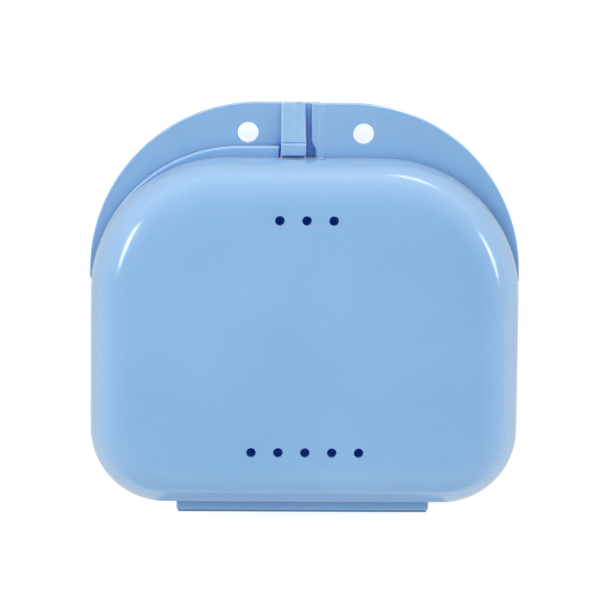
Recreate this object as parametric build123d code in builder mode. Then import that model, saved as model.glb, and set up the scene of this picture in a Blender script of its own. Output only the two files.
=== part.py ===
"""Hinged denture case: two D-shaped polypropylene shells moulded in one piece.

The base lies on its flat bottom with its rim up, and the lid is the same bowl turned over on
it. A thin web joins them along the back and bends when the case opens. At the front each shell
carries half of a round wing with a hanging hole, the base's on the left and the lid's on the
right, and a snap hook on the base's wing catches a ledge on the lid's wall.

Millimetres, +Z up, +Y towards the wings, origin at the middle of the case, on its bottom.
"""

import os

from build123d import *

# Bowl of each shell, measured at the rim, where base and lid meet
case_width = 82.5
case_depth = 66.55
shell_height = 14.0
wall = 1.6
draft_angle = 1.0
front_corner = 26.0
back_corner = 14.5
edge_round = 8.5
rim_edge = 0.25

# Wings: half of a round flange on each shell, level with the rim
flange_thickness = 2.0
flange_edge = 0.2
wing_reach = 10.45
wing_run = 23.8
wing_ease = 6.5
wing_proud = 0.25
base_wing_end = 2.6
lid_wing_end = 1.1
wing_end_round = 0.45

# Lip along the other half of the rim, under or over the other shell's wing
lip_reach = 2.1
lip_ease = 3.0
lip_proud = 0.2
lip_edge = 0.35
lip_end_round = 0.5
lip_gap = 0.12

# Hanging holes, one through each wing
hanging_hole = 4.0
hanging_spacing = 22.2
hanging_setback = 4.6

# Air holes in the flat of each shell
vent_hole = 1.85
vent_pitch = 5.15
vent_inset = 10.95
front_vents = 3
back_vents = 5

# Living hinge at the back
hinge_width = 49.0
hinge_lip = 2.3
hinge_corner = 0.3
web_thickness = 0.4
web_radius = 0.55

# Snap hook on the base's wing
hook_width = 4.85
hook_right = 0.05
hook_foot = 0.5
hook_height = 2.6
hook_edge_round = 0.4
head_height = 2.9
head_length = 2.5
head_gap = 0.25
head_corner = 0.45
head_round = 0.35
snap_groove = 0.25
channel_width = 1.6
channel_depth = 0.18
channel_inset = 0.65

# Ledge on the lid's wall that the hook's head catches, and the notch that the head stands in
catch_depth = 0.9
catch_height = 0.8
catch_lead = 0.3
catch_inset = 0.25
catch_clearance = 0.15
notch_reach = 2.9
notch_right = 1.85
notch_slant = 1.4

# Low bead beside the end of the lid's wing, which runs on up the wall
bead_width = 1.3
bead_height = 0.22
bead_inset = 1.8

# Places that follow from the sizes above
web_outer = web_radius + web_thickness / 2
web_inner = web_radius - web_thickness / 2
total_depth = wing_reach + case_depth + hinge_lip + web_outer
wing_front = total_depth / 2
front_wall = wing_front - wing_reach
back_wall = front_wall - case_depth
wing_back = front_wall - wing_run
hinge_end = back_wall - hinge_lip
lip_front = front_wall + lip_reach
wing_width = case_width + 2 * wing_proud
wing_corner = front_corner + wing_ease
lip_width = case_width + 2 * lip_proud
lip_corner = front_corner + lip_ease
wall_middle = front_wall - wall / 2
hook_left = hook_right - hook_width
lip_end = hook_left - lip_gap
head_back = front_wall + head_gap
head_front = head_back + head_length
stem_back = front_wall + catch_depth + catch_clearance
channel_middle = hook_right - channel_inset - channel_width / 2
channel_radius = (channel_width**2 / 4 + channel_depth**2) / (2 * channel_depth)
bead_middle = lid_wing_end + bead_inset
rim = Plane.XY.offset(shell_height)


def rounded_outline(width, front, back, front_radius, back_radius=0.0):
    """Rectangle on the rim plane, from back to front, with its corners rounded."""
    with BuildSketch(rim) as outline:
        with Locations((0, (front + back) / 2)):
            Rectangle(width, front - back)
        fillet(outline.vertices().group_by(Axis.Y)[-1], front_radius)
        if back_radius:
            fillet(outline.vertices().group_by(Axis.Y)[0], back_radius)
    return outline.sketch


def case_outline(inset=0.0):
    """Outline of the bowl's wall at the rim, or of a line inside it."""
    return rounded_outline(
        case_width - 2 * inset,
        front_wall - inset,
        back_wall + inset,
        front_corner - inset,
        back_corner - inset,
    )


def rim_area(left, right, front, back):
    """Rectangle on the rim plane between four straight sides."""
    with BuildSketch(rim) as area:
        with Locations(((left + right) / 2, (front + back) / 2)):
            Rectangle(right - left, front - back)
    return area.sketch


def half_flange(width, front, corner, left, right):
    """Stretch of a flange outside the wall, between left and right, with its root in the wall."""
    with BuildSketch(rim) as flange:
        add(rounded_outline(width, front, back_wall, corner))
        add(rim_area(left, right, front, wing_back), mode=Mode.INTERSECT)
        add(case_outline(wall / 2), mode=Mode.SUBTRACT)
    return flange.sketch


def wing_area(left, right):
    """Stretch of the wing's outline."""
    return half_flange(wing_width, wing_front, wing_corner, left, right)


def lip_area(left, right):
    """Stretch of the lip's outline."""
    return half_flange(lip_width, lip_front, lip_corner, left, right)


def hinge_flange():
    """Straight lip behind the wall that the hinge's web grows from."""
    return rounded_outline(hinge_width, back_wall + wall / 2, hinge_end, hinge_corner, hinge_corner)


def bowl_form(side, inset=0.0):
    """Solid form of a bowl below (-1) or above (+1) the rim, or of its hollow one wall inside."""
    with BuildPart(mode=Mode.PRIVATE) as form:
        extrude(case_outline(inset), shell_height - inset, taper=draft_angle)
        fillet(form.faces().sort_by(Axis.Z)[-1].edges(), edge_round - inset)
        if side < 0:
            mirror(about=rim, mode=Mode.REPLACE)
    return form.part


def vent_pins(side):
    """Pins that pierce the flat of a shell: a short row at the front and a longer one at the back."""
    with BuildPart(mode=Mode.PRIVATE) as pins:
        with BuildSketch(rim.offset(side * (shell_height - 2 * wall))):
            with Locations((0, front_wall - vent_inset)):
                with GridLocations(vent_pitch, vent_pitch, front_vents, 1):
                    Circle(vent_hole / 2)
            with Locations((0, back_wall + vent_inset)):
                with GridLocations(vent_pitch, vent_pitch, back_vents, 1):
                    Circle(vent_hole / 2)
        extrude(amount=side * 3 * wall)
    return pins.part


def hanging_pin(side):
    """Pin that pierces the left (-1) or right (+1) wing, on either side of the rim."""
    with BuildPart(mode=Mode.PRIVATE) as pin:
        with BuildSketch(rim):
            with Locations((side * hanging_spacing / 2, front_wall + hanging_setback)):
                Circle(hanging_hole / 2)
        extrude(amount=2 * flange_thickness, both=True)
    return pin.part


def hollow_edge(shell):
    """Edges of a shell's hollow where it opens at the rim."""
    level_faces = shell.faces().filter_by(Axis.Z)
    rim_faces = level_faces.filter_by_position(Axis.Z, shell_height - rim_edge, shell_height + rim_edge)
    return rim_faces.sort_by(SortBy.AREA)[-1].inner_wires().sort_by(SortBy.LENGTH)[-1].edges()


def bead_profile(level):
    """Low round back of the bead, standing on level and rooted below it."""
    with BuildSketch() as profile:
        with BuildLine():
            left = (bead_middle - bead_width / 2, level)
            right = (bead_middle + bead_width / 2, level)
            ThreePointArc(left, (bead_middle, level + bead_height), right)
            Polyline(right, (right[0], level - bead_height), (left[0], level - bead_height), left)
        make_face()
    return profile.sketch


# Base: bowl below the rim, with a lip under the lid's wing and a lip for the hinge
with BuildPart() as base_shell:
    extrude(hinge_flange(), -flange_thickness)
    chamfer(base_shell.edges().filter_by(Plane.XY), flange_edge)
    extrude(lip_area(base_wing_end, lip_width / 2), -flange_thickness)
    lip_edges = base_shell.edges().filter_by(Plane.XY).filter_by_position(Axis.Y, wing_back, wing_front)
    chamfer(lip_edges.filter_by_position(Axis.X, base_wing_end + flange_edge, lip_width), flange_edge)
    add(bowl_form(-1))
    add(bowl_form(-1, wall), mode=Mode.SUBTRACT)
    add(vent_pins(-1), mode=Mode.SUBTRACT)
    chamfer(hollow_edge(base_shell), rim_edge)
    base_shell.part.label = "base_shell"

# Base's half of the wing, on the left, seated against the bowl's wall
with BuildPart() as base_wing:
    extrude(wing_area(-wing_width / 2, base_wing_end), -flange_thickness)
    wing_edges = base_wing.edges().filter_by(Plane.XY)
    chamfer(wing_edges.filter_by_position(Axis.X, -wing_width, base_wing_end - flange_edge), flange_edge)
    add(hanging_pin(-1), mode=Mode.SUBTRACT)
    # Window under the hook's head, through which the mould forms its underside
    window = rim_area(hook_left, hook_right, stem_back, wall_middle)
    extrude(window, -flange_thickness, mode=Mode.SUBTRACT)
    add(bowl_form(-1), mode=Mode.SUBTRACT)
    base_wing.part.label = "base_wing"

# Lid: the same bowl above the rim, with a lip over the base's wing and a lip for the hinge
with BuildPart() as lid_shell:
    extrude(hinge_flange(), flange_thickness)
    chamfer(lid_shell.edges().filter_by(Plane.XY), flange_edge)
    extrude(lip_area(-lip_width / 2, lip_end), flange_thickness)
    lip_edges = lid_shell.edges().filter_by_position(Axis.Y, wing_back, wing_front)
    fillet(lip_edges.filter_by(Axis.Z).group_by(Axis.X)[-1].sort_by(Axis.Y)[-1], lip_end_round)
    lip_top = lid_shell.faces().filter_by(Plane.XY).filter_by_position(Axis.Y, wing_back, wing_front)
    chamfer(lip_top.sort_by(Axis.Z)[-1].edges(), lip_edge)
    add(bowl_form(1))
    add(bowl_form(1, wall), mode=Mode.SUBTRACT)
    add(vent_pins(1), mode=Mode.SUBTRACT)
    chamfer(hollow_edge(lid_shell), rim_edge)
    # Ledge for the hook's head, with a lead on its lower edge
    with BuildSketch(Plane.YZ.offset(hook_left + catch_inset)):
        with BuildLine():
            Polyline(
                (wall_middle, shell_height),
                (front_wall + catch_depth - catch_lead, shell_height),
                (front_wall + catch_depth, shell_height + catch_lead),
                (front_wall + catch_depth, shell_height + catch_height),
                (wall_middle, shell_height + catch_height),
                close=True,
            )
        make_face()
    extrude(amount=hook_width - 2 * catch_inset)
    # Bead up the wall, to where the wall turns over
    with BuildSketch(rim):
        add(bead_profile(front_wall))
    extrude(amount=shell_height - edge_round)
    lid_shell.part.label = "lid_shell"

# Lid's half of the wing, on the right, with the notch that the hook's head stands in
with BuildPart() as lid_wing:
    extrude(wing_area(lid_wing_end, wing_width / 2), flange_thickness)
    with BuildSketch(rim):
        with BuildLine():
            Polyline(
                (lid_wing_end, wall_middle),
                (notch_right, wall_middle),
                (notch_right, front_wall + notch_reach - notch_slant),
                (lid_wing_end, front_wall + notch_reach),
                close=True,
            )
        make_face()
    extrude(amount=flange_thickness, mode=Mode.SUBTRACT)
    # Its inner end is rounded on top, the rest of its edges are broken
    top_edges = lid_wing.faces().sort_by(Axis.Z)[-1].edges()
    fillet(top_edges.filter_by_position(Axis.X, lid_wing_end, notch_right), wing_end_round)
    wing_edges = lid_wing.edges().filter_by(Plane.XY)
    chamfer(wing_edges.filter_by_position(Axis.X, notch_right + flange_edge, wing_width), flange_edge)
    add(hanging_pin(1), mode=Mode.SUBTRACT)
    # Bead along the wing, out to its edge
    with BuildSketch(Plane.XZ.offset(-wing_front + flange_edge)):
        add(bead_profile(shell_height + flange_thickness))
    extrude(amount=wing_reach - flange_edge)
    add(lid_shell.part, mode=Mode.SUBTRACT)
    add(bowl_form(1), mode=Mode.SUBTRACT)
    lid_wing.part.label = "lid_wing"

# Snap hook: a ramp that rises over the base's wing to a square head in front of the lid's wall
with BuildPart() as latch_hook:
    ramp_end = head_front + snap_groove
    with BuildSketch(Plane.YZ.offset(hook_left)):
        with BuildLine():
            Polyline(
                (wing_front, shell_height - flange_edge),
                (wing_front, shell_height + hook_foot),
                (ramp_end, shell_height + hook_height),
                (ramp_end, shell_height - flange_edge),
                close=True,
            )
        make_face()
    extrude(amount=hook_width)
    fillet(latch_hook.faces().sort_by(Axis.Z)[-1].edges().filter_by(Plane.YZ), hook_edge_round)
    # Shallow round channel down the ramp
    ramp_top = Vector(channel_middle, ramp_end, shell_height + hook_height)
    ramp_fall = Vector(channel_middle, wing_front, shell_height + hook_foot) - ramp_top
    with BuildSketch(Plane(ramp_top, x_dir=(1, 0, 0), z_dir=ramp_fall)):
        with Locations((0, channel_depth - channel_radius)):
            Circle(channel_radius)
    extrude(amount=ramp_fall.length, mode=Mode.SUBTRACT)
    # Head and its stem, behind a groove at the top of the ramp
    with BuildSketch(Plane.YZ.offset(hook_left)):
        with BuildLine():
            Polyline(
                (ramp_end, shell_height),
                (ramp_end, shell_height + hook_height - snap_groove),
                (head_front, shell_height + hook_height - snap_groove),
                (head_front, shell_height + head_height),
                (head_back, shell_height + head_height),
                (head_back, shell_height + catch_height + catch_clearance),
                (stem_back, shell_height + catch_height + catch_clearance),
                (stem_back, shell_height),
                close=True,
            )
        make_face()
    extrude(amount=hook_width)
    head_corners = latch_hook.edges().filter_by(Axis.Z).group_by(Axis.Y)[0]
    fillet(head_corners, head_corner)
    fillet(latch_hook.faces().sort_by(Axis.Z)[-1].edges(), head_round)
    # The foot sits on the wing and laps its rounded front edge
    add(base_wing.part, mode=Mode.SUBTRACT)
    latch_hook.part.label = "latch_hook"

# Living hinge: thin web folded into a U behind the two hinge lips
with BuildPart() as living_hinge:
    web_length = hinge_width - 2 * hinge_corner
    with BuildSketch(Plane.YZ.offset(-web_length / 2)):
        with Locations((hinge_end, shell_height)):
            Circle(web_outer)
            Circle(web_inner, mode=Mode.SUBTRACT)
            Rectangle(2 * web_outer, 2 * web_outer, align=(Align.MIN, Align.CENTER), mode=Mode.SUBTRACT)
    extrude(amount=web_length)
    living_hinge.part.label = "living_hinge"

os.makedirs("parts", exist_ok=True)
for piece in (base_shell, base_wing, lid_shell, lid_wing, latch_hook, living_hinge):
    export_step(piece.part, f"parts/{piece.part.label}.step")
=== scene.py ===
"""Looks of a hinged denture case, moulded in one piece from blue polypropylene."""

from math import cos, pi, radians, sin

import bpy
from mathutils import Matrix, Vector


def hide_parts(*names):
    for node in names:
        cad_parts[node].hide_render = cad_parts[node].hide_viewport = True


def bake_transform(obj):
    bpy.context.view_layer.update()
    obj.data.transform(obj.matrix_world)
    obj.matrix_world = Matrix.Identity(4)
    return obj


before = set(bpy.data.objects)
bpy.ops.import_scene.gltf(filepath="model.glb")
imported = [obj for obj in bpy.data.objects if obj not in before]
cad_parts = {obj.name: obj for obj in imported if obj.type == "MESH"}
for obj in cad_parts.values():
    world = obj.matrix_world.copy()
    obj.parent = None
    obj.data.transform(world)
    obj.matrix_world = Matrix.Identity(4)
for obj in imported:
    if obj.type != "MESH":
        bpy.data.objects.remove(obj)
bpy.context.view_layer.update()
bpy.ops.object.select_all(action="DESELECT")


# Base shell: the lower bowl of the case, with the lip that runs under the lid's wing.
# It is injection moulded in polypropylene, which is glossy outside and lets a little light
# through, so the walls look milky; the deep blue glow of the closed hollow is painted light.
def feed(tree, node, sockets):
    """Sets each socket of a shader node to a value, or feeds it from another node's output."""
    for socket, source in sockets.items():
        if isinstance(source, bpy.types.NodeSocket):
            tree.links.new(source, node.inputs[socket])
        else:
            node.inputs[socket].default_value = source


def put(tree, kind, sockets, **settings):
    """Adds a shader node of a kind, with its settings and its sockets."""
    node = tree.nodes.new("ShaderNode" + kind)
    for setting, choice in settings.items():
        setattr(node, setting, choice)
    feed(tree, node, sockets)
    return node


def colour_between(tree, amount, first, second):
    """Colour that goes from the first to the second by an amount."""
    return put(tree, "Mix", {0: amount, 6: first, 7: second}, data_type="RGBA").outputs[2]


def moulded_plastic(name, deep, pale):
    """Glossy, milky blue polypropylene, with faint flow clouds, mould polish and orange peel,
    painted shade at the parting and in crevices, and a painted glow inside.
    """
    plastic = bpy.data.materials.new(name)
    plastic.use_nodes = True
    tree = plastic.node_tree
    shader = tree.nodes["Principled BSDF"]
    polypropylene_ior = 1.49
    feed(tree, shader, {
        "IOR": polypropylene_ior,
        "Specular IOR Level": 1.0,
        "Coat Weight": 1.0,
        "Coat Roughness": 0.12,
        "Coat IOR": polypropylene_ior,
        "Sheen Weight": 0.25,
        "Sheen Roughness": 0.4,
        "Subsurface Weight": 0.35,
        "Subsurface Radius": (0.3, 0.6, 1.0),
        "Subsurface Scale": 0.0015,
    })
    piece = put(tree, "TexCoord", {})
    place, outward_normal = piece.outputs["Object"], piece.outputs["Normal"]

    # Pigment: slow clouds where the melt flowed, from a clear blue to a paler one
    clouds = put(tree, "TexNoise", {
        "Vector": place, "Scale": 38.0, "Detail": 3.0, "Distortion": 0.6,
    })
    pigment = put(tree, "ValToRGB", {"Fac": clouds.outputs["Fac"]})
    for stop, position, colour in zip(pigment.color_ramp.elements, (0.3, 0.7), (deep, pale)):
        stop.position = position
        stop.color = (*colour, 1.0)

    # Parting: painted shade in the hair-wide gap where the two shells meet, seen on upright
    # faces only
    parting_height, parting_reach, parting_shade = 0.014, 0.00016, 0.55
    parting_shade_blue = (0.06, 0.14, 0.33, 1.0)
    height = put(tree, "SeparateXYZ", {"Vector": place})
    off_parting = put(
        tree, "Math", {0: height.outputs["Z"], 1: parting_height}, operation="SUBTRACT")
    away = put(tree, "Math", {0: off_parting.outputs[0]}, operation="ABSOLUTE")
    gap = put(tree, "MapRange", {
        "Value": away.outputs[0], "From Max": parting_reach,
        "To Min": parting_shade, "To Max": 0.0,
    })
    slope = put(tree, "SeparateXYZ", {"Vector": outward_normal})
    flatness = put(tree, "Math", {0: slope.outputs["Z"]}, operation="ABSOLUTE")
    upright = put(tree, "MapRange", {
        "Value": flatness.outputs[0], "From Min": 0.6, "From Max": 0.3,
    })
    shade = put(tree, "Math", {
        0: gap.outputs["Result"], 1: upright.outputs["Result"],
    }, operation="MULTIPLY")
    parting_shaded = colour_between(tree, shade.outputs[0], pigment.outputs["Color"], parting_shade_blue)

    # Crevices: painted shade: the colour is painted a deeper blue beside a wall and in narrow
    # slots, standing in for light that has come off the plastic there or been through it
    wall_shade_blue, slot_shade_blue = (0.06, 0.27, 0.66, 1.0), (0.005, 0.15, 0.62, 1.0)
    openness = put(tree, "AmbientOcclusion", {"Distance": 0.003}, samples=8).outputs["AO"]
    beside_wall = put(tree, "MapRange", {
        "Value": openness, "From Min": 0.9, "From Max": 0.5, "To Max": 0.35,
    })
    in_slot = put(tree, "MapRange", {"Value": openness, "From Min": 0.5, "From Max": 0.27})
    wall_shaded = colour_between(tree, beside_wall.outputs["Result"], parting_shaded, wall_shade_blue)
    crevice_shaded = colour_between(tree, in_slot.outputs["Result"], wall_shaded, slot_shade_blue)

    # Polish: handled areas are a little duller than the rest
    polish = put(tree, "TexNoise", {"Vector": place, "Scale": 95.0, "Detail": 5.0})
    dulling = put(tree, "MapRange", {
        "Value": polish.outputs["Fac"], "From Min": 0.3, "From Max": 0.7,
        "To Min": 0.17, "To Max": 0.23,
    })

    # Skin: the faint orange peel that the mould leaves
    peel = put(tree, "TexNoise", {"Vector": place, "Scale": 900.0, "Detail": 2.0})
    skin = put(tree, "Bump", {
        "Height": peel.outputs["Fac"], "Strength": 0.04, "Distance": 0.0002,
    })

    # Hollow: painted light: faces that look towards the middle of the case glow a faint blue,
    # standing in for the light that comes through the milky walls
    hollow_middle, painted_glow_blue, painted_hollow_glow = (0.0, -0.004, 0.014), (0.02, 0.15, 1.0, 1.0), 0.046
    from_middle = put(tree, "VectorMath", {0: place, 1: hollow_middle}, operation="SUBTRACT")
    facing = put(tree, "VectorMath", {
        0: from_middle.outputs["Vector"], 1: outward_normal,
    }, operation="DOT_PRODUCT")
    inside = put(tree, "MapRange", {
        "Value": facing.outputs["Value"], "From Min": -0.004, "From Max": -0.010,
        "To Max": painted_hollow_glow,
    })

    feed(tree, shader, {
        "Base Color": crevice_shaded,
        "Roughness": dulling.outputs["Result"],
        "Normal": skin.outputs["Normal"],
        "Emission Strength": inside.outputs["Result"],
        "Emission Color": painted_glow_blue,
    })
    return plastic


shell_plastic = moulded_plastic(
    "blue_polypropylene", deep=(0.201, 0.401, 0.66), pale=(0.223, 0.427, 0.688))


def dress(node, plastic):
    """Gives a CAD piece the plastic that it is moulded in."""
    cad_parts[node].data.materials.clear()
    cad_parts[node].data.materials.append(plastic)


dress("base_shell", shell_plastic)

# Base wing: the left half of the front flange, with the base's hanging hole. It is one moulding
# with the base shell, drawn from the same shot of blue polypropylene, so its clouds run on.
dress("base_wing", shell_plastic)

# Lid shell: the upper bowl, with eight air holes and the lip that lies over the base's wing.
# It is the other half of the same moulding, folded over at the hinge.
dress("lid_shell", shell_plastic)

# Lid wing: the right half of the front flange, with the lid's hanging hole.
# Like the base's wing it is one with its shell, a flat tab with a rounded rim.
dress("lid_wing", shell_plastic)

# Latch hook: the square head and ramp that catch the ledge on the lid and hold the case shut.
# It stands on the base's wing, moulded with it. The real one springs aside as the lid comes
# down, and this one stays rigid. Its blue is painted a little paler than the shell's, and its
# edges paler still, as painted highlights.
# Painted light: the hook's blues are a little paler than the shell's.
lit_hook_plastic = moulded_plastic(
    "hook_polypropylene_painted_light", deep=(0.228, 0.43, 0.68), pale=(0.255, 0.46, 0.71))
# Painted highlight: where the rounded normal turns away from the flat one, the hook's edges are
# painted a paler blue.
edge_width, edge_highlight_blue = 0.0006, (0.40, 0.68, 1.0, 1.0)
tree = lit_hook_plastic.node_tree
hook_shader = tree.nodes["Principled BSDF"]
body_colour = hook_shader.inputs["Base Color"].links[0].from_socket
softened = put(tree, "Bevel", {"Radius": edge_width}, samples=8).outputs["Normal"]
feed(tree, tree.nodes["Bump"], {"Normal": softened})
surface = put(tree, "NewGeometry", {})
turn = put(tree, "VectorMath", {
    0: softened, 1: surface.outputs["Normal"],
}, operation="DOT_PRODUCT")
painted_edge_highlight = put(tree, "MapRange", {
    "Value": turn.outputs["Value"], "From Min": 0.995, "From Max": 0.88, "To Max": 0.9,
})
feed(tree, hook_shader, {
    "Base Color": colour_between(tree, painted_edge_highlight.outputs["Result"], body_colour, edge_highlight_blue),
})
dress("latch_hook", lit_hook_plastic)

# Living hinge: the thin web between the two hinge lips, folded into a half round when shut.
# It is the same shot of polypropylene, coined thin so that it bends, and its gloss is duller
# there; its blue is painted deeper, as painted shade. It runs from the base's lip to the lid's.
# The real one lies flat when the case is open, and the blend leaves this one as a low ridge.
web_length = 0.0484
web_inside, web_outside = 0.00035, 0.00075
web_thickness, web_middle = web_outside - web_inside, (web_inside + web_outside) / 2
fold_y, fold_z = -0.039275, 0.014
fold_steps = 24
bpy.ops.mesh.primitive_plane_add(
    size=1.0, location=(0, fold_y, fold_z + web_middle), rotation=(pi / 2, 0, 0))
web = bpy.context.object
web.name = "hinge_web"
web.data.name = "hinge_web"
bpy.ops.object.transform_apply(location=True, rotation=True, scale=True)
bpy.ops.object.mode_set(mode="EDIT")
bpy.ops.mesh.select_all(action="SELECT")
bpy.ops.transform.resize(
    value=(web_length, 1, web_thickness), center_override=(0, fold_y, fold_z + web_middle))
bpy.ops.mesh.spin(steps=fold_steps, angle=pi, center=(0, fold_y, fold_z), axis=(-1, 0, 0))
bpy.ops.mesh.select_all(action="SELECT")
bpy.ops.mesh.remove_doubles(threshold=1e-6)
bpy.ops.mesh.normals_make_consistent(inside=False)
bpy.ops.object.mode_set(mode="OBJECT")
bpy.ops.object.shade_smooth_by_angle(angle=radians(40))
# Painted shade: the web's blue is a darker copy of the shell's.
shaded_web_plastic = moulded_plastic(
    "web_polypropylene_painted_shade", deep=(0.105, 0.205, 0.37), pale=(0.12, 0.225, 0.39))
feed(shaded_web_plastic.node_tree, shaded_web_plastic.node_tree.nodes["Principled BSDF"], {
    "Coat Weight": 0.0, "Specular IOR Level": 0.5,
})
web.data.materials.append(shaded_web_plastic)
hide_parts("living_hinge")
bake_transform(web)
bpy.ops.object.select_all(action="DESELECT")

# Floor: a wide sheet of white paper under the case, which keeps its soft shadow.
# It looks white to the eye and lights as plain paper does. The gloss of the plastic sees it with
# a painted shadow near the case and brighter further out.
floor_drop = 0.0002
bpy.ops.mesh.primitive_plane_add(size=6.0, location=(0, 0, -floor_drop))
floor = bpy.context.object
floor.name = "floor"
paper = bpy.data.materials.new("white_paper")
paper.use_nodes = True
tree = paper.node_tree
paper_white, no_paper = (0.86, 0.86, 0.86, 1.0), (0.0, 0.0, 0.0, 1.0)
ray = put(tree, "LightPath", {})
in_gloss = ray.outputs["Is Glossy Ray"]
looked_at = put(tree, "Math", {
    0: ray.outputs["Is Camera Ray"], 1: ray.outputs["Is Transmission Ray"],
}, operation="MAXIMUM")
lift_to_white = put(tree, "MapRange", {"Value": looked_at.outputs[0], "To Max": 0.41})
on_floor = put(tree, "TexCoord", {}).outputs["Object"]
from_case = put(tree, "VectorMath", {0: on_floor}, operation="LENGTH")
# Painted shadow: the paper, as the gloss sees it, is darker near the case and brighter further
# out.
painted_shadow_in_gloss = put(tree, "MapRange", {
    "Value": from_case.outputs["Value"], "From Min": 0.035, "From Max": 0.12,
    "To Min": 0.58, "To Max": 1.12,
}, interpolation_type="SMOOTHSTEP")
paper_light = put(tree, "Mix", {
    "Factor": in_gloss, "A": lift_to_white.outputs["Result"], "B": painted_shadow_in_gloss.outputs["Result"],
})
feed(tree, tree.nodes["Principled BSDF"], {
    "Base Color": colour_between(tree, in_gloss, paper_white, no_paper),
    "Roughness": 0.8,
    "Specular IOR Level": 0.0,
    "Emission Color": (1.0, 1.0, 1.0, 1.0),
    "Emission Strength": paper_light.outputs["Result"],
})
floor.data.materials.append(paper)

# Flag: a narrow card of dark grey-blue, laid on the floor on the hinge side, where there is only
# shade. Only the gloss of the plastic sees it, as a painted reflection of shade: a deeper line
# along that side of the case.
flag_width, flag_stretch = 0.06, 4.3
flag_shade_blue = (0.22, 0.33, 0.55, 1.0)
bpy.ops.mesh.primitive_plane_add(size=flag_width, location=(0, -0.174, 0.0006))
flag = bpy.context.object
bpy.ops.transform.resize(value=(1.0, flag_stretch, 1.0))
bpy.ops.object.transform_apply(location=True, rotation=True, scale=True)
flag.name = "painted_shade_flag"
card = bpy.data.materials.new("painted_shade_card")
card.use_nodes = True
feed(card.node_tree, card.node_tree.nodes["Principled BSDF"], {
    "Base Color": flag_shade_blue, "Roughness": 0.9,
})
flag.data.materials.append(card)
flag.visible_camera = False
flag.visible_diffuse = False
flag.visible_shadow = False
flag.visible_transmission = False

# Room: a tent of white cloth round the case, brightest low down on the wings' side, dimmer at
# the sides, and dim overhead and on the hinge side. The eye sees plain white beyond the floor.
world = bpy.data.worlds.new("white_tent")
bpy.context.scene.world = world
world.use_nodes = True
tree = world.node_tree
tent_top, tent_low = 0.25, 1.6
by_height = (
    (0.0, 1.0), (0.17, 0.97), (0.47, 0.70), (0.67, 0.47), (0.85, 0.40), (0.95, 0.16), (1.0, 0.0))
hinge_to_wings = ((0.0, 0.2), (0.06, 0.3), (0.16, 0.6), (0.5, 0.62), (0.8, 0.95), (1.0, 1.0))


def tent_share(position, levels):
    """Brightness of the cloth along one direction, as a ramp of greys."""
    ramp = put(tree, "ValToRGB", {"Fac": position})
    for stop_position, level in levels[1:-1]:
        ramp.color_ramp.elements.new(stop_position)
    for stop, (stop_position, level) in zip(ramp.color_ramp.elements, levels):
        stop.position = stop_position
        stop.color = (level, level, level, 1.0)
    return ramp.outputs["Color"]


towards = put(tree, "SeparateXYZ", {"Vector": put(tree, "TexCoord", {}).outputs["Generated"]})
round_about = put(tree, "MapRange", {"Value": towards.outputs["Y"], "From Min": -1.0})
low_share = put(tree, "Math", {
    0: tent_share(towards.outputs["Z"], by_height),
    1: tent_share(round_about.outputs["Result"], hinge_to_wings),
}, operation="MULTIPLY")
tent_light = put(tree, "Math", {
    0: low_share.outputs[0], 1: tent_low - tent_top, 2: tent_top,
}, operation="MULTIPLY_ADD")
ray = put(tree, "LightPath", {})
seen = put(tree, "Math", {
    0: ray.outputs["Is Camera Ray"], 1: ray.outputs["Is Transmission Ray"],
}, operation="MAXIMUM")
backdrop = put(tree, "Mix", {"Factor": seen.outputs[0], "A": tent_light.outputs[0], "B": 1.0})
feed(tree, tree.nodes["Background"], {
    "Color": (1.0, 1.0, 1.0, 1.0), "Strength": backdrop.outputs["Result"],
})


# Lights: three narrow strips, which draw the bright streaks along the rounded edges of the lid.
# Each is an oval panel that faces the case.
def direction(azimuth, elevation):
    """Way to a light, from its azimuth and elevation in degrees."""
    turn, rise = radians(azimuth), radians(elevation)
    return Vector((cos(rise) * cos(turn), cos(rise) * sin(turn), sin(rise)))


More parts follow.
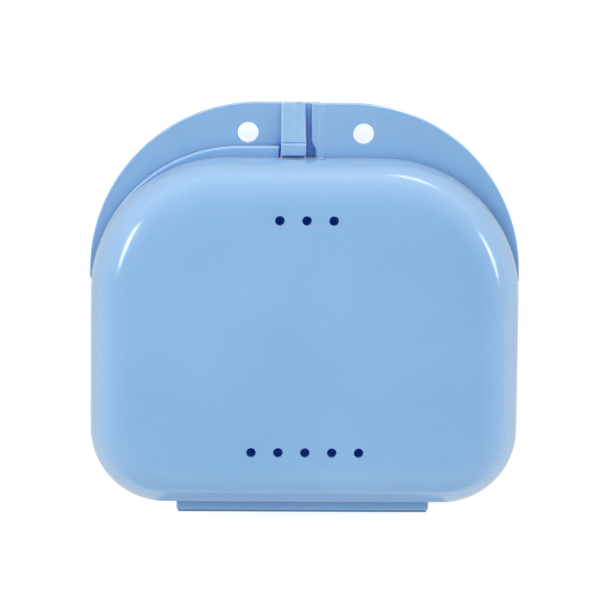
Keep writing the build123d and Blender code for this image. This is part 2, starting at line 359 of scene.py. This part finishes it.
def strip_light(name, start, end, reach, breadth, radiance):
    """Oval panel at reach metres, its long side from one direction to the other."""
    first, last = direction(*start) * reach, direction(*end) * reach
    middle = (first + last) / 2
    case_middle = Vector((0, 0, 0.014))
    back = (middle - case_middle).normalized()
    along = last - first
    length = along.length
    along = (along - back * along.dot(back)).normalized()
    side = back.cross(along)
    data = bpy.data.lights.new(name, "AREA")
    data.shape = "ELLIPSE"
    data.size = length
    data.size_y = breadth
    data.energy = radiance * pi * length * breadth
    lamp = bpy.data.objects.new(name, data)
    lamp.matrix_world = Matrix((
        (along.x, side.x, back.x, middle.x),
        (along.y, side.y, back.y, middle.y),
        (along.z, side.z, back.z, middle.z),
        (0, 0, 0, 1),
    ))
    lamp.visible_camera = False
    bpy.context.scene.collection.objects.link(lamp)
    return lamp


strip_reach = 0.6
strip_light("left_strip", (173.5, 38.8), (146, 29.2), strip_reach, 0.064, 6.8)
strip_light("right_strip", (28, 29), (2, 26), strip_reach, 0.05, 6.7)
strip_light("far_strip", (83, 2), (60, 8), strip_reach, 0.05, 4.3)

# Fills: a soft box overhead and one on the hinge side, which light the case and the floor.
# Neither has a highlight of its own in the plastic.
for fill in (
    strip_light("high_fill", (130, 63), (130, 97), 0.24, 0.14, 2.6),
    strip_light("front_fill", (272, 42), (294, 42), 0.5, 0.2, 3.2),
):
    fill.visible_glossy = False

# Camera: nearly overhead, leaning a little towards the wings, with a long lens.
# It is turned so that the hinge lies level at the foot of the frame.
camera_data = bpy.data.cameras.new("camera")
camera = bpy.data.objects.new("camera", camera_data)
bpy.context.scene.collection.objects.link(camera)
tilt, lean, roll = radians(7.57), radians(-1.66), radians(0.56)
distance, frame_width, pixels_per_metre = 0.8, 605, 5160.0
aim = Vector((-0.00031, 0.00116, 0.014))
camera_data.sensor_width = 36.0
camera_data.lens = pixels_per_metre * distance * camera_data.sensor_width / frame_width
camera_data.clip_end = 10.0
back = Vector((sin(lean), sin(tilt) * cos(lean), cos(tilt) * cos(lean))).normalized()
right = Vector((0, 1, 0)).cross(back).normalized()
up = back.cross(right)
across = right * cos(roll) + up * sin(roll)
upward = up * cos(roll) - right * sin(roll)
stand = aim + back * distance
camera.matrix_world = Matrix((
    (across.x, upward.x, back.x, stand.x),
    (across.y, upward.y, back.y, stand.y),
    (across.z, upward.z, back.z, stand.z),
    (0, 0, 0, 1),
))
bpy.context.scene.camera = camera
bpy.context.scene.view_settings.view_transform = "Standard"
